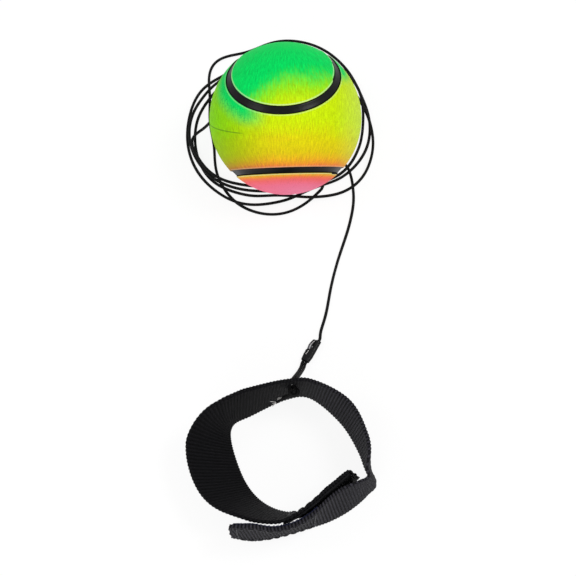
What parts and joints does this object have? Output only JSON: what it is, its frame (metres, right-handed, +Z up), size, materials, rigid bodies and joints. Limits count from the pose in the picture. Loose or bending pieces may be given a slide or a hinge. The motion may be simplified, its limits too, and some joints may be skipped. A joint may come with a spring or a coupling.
{
  "type": "wrist return ball",
  "caption": "Sponge rubber ball on a coiled elastic cord tied to a webbing wrist strap with a hook-and-pile flap, so that a thrown ball springs back to the hand.",
  "frame": {"origin": "on the table, under the middle of the box round the ball and the strap", "axes": "+Z up, +Y from the strap to the ball, +X to the right as seen from the strap's side"},
  "size_m": [0.0783, 0.2182, 0.06],
  "materials": {
    "ball_rubber": "matte sponge rubber, sprayed green to yellow to coral",
    "seam_rubber": "black, satin, sunk in the groove",
    "plug_rubber": "black, matte",
    "black_elastic": "braided elastic cord",
    "black_sleeve": "soft black sleeve pressed on the cord",
    "black_webbing": "ribbed nylon webbing",
    "hook_tape": "fine moulded hooks",
    "pile_tape": "brushed pile",
    "black_thread": "sewing thread"
  },
  "bodies": {
    "strap": {"strap_band": "black_webbing", "loop_patch": "pile_tape", "loop_stitching": "black_thread"},
    "flap": {"strap_flap": "black_webbing", "hook_patch": "hook_tape", "hook_stitching": "black_thread"},
    "tether": {"crimp_sleeve": "black_sleeve", "tether_loop": "black_elastic", "tether_knot": "black_elastic"},
    "line": {"cord_lead": "black_elastic", "cord_coil": "black_elastic", "cord_exit": "black_elastic", "anchor_knot": "black_elastic"},
    "ball": {"ball_body": "ball_rubber", "seam_line": "seam_rubber", "anchor_plug": "plug_rubber"}
  },
  "joints": [
    {"name": "flap_open", "type": "hinge", "parent": "strap", "child": "flap", "pos_m": [0.0352, -0.0756, 0.0124], "axis": [0, 0, 1], "range_deg": [0, 100]},
    {"name": "tether_swing", "type": "hinge", "parent": "strap", "child": "tether", "pos_m": [0.00389, -0.04035, 0.017], "axis": [0, 0, 1], "range_deg": [-12, 12]},
    {"name": "cord_stretch", "type": "slide", "parent": "tether", "child": "line", "axis": [0, 1, 0], "range_m": [0, 0.15], "stiffness_N_per_m": 20, "deforming": ["cord_lead"]},
    {"name": "ball_spin", "type": "hinge", "parent": "line", "child": "ball", "pos_m": [0.0015, 0.066, 0.03], "axis": [-0.8804, 0.2201, -0.4202], "continuous": true}
  ]
}
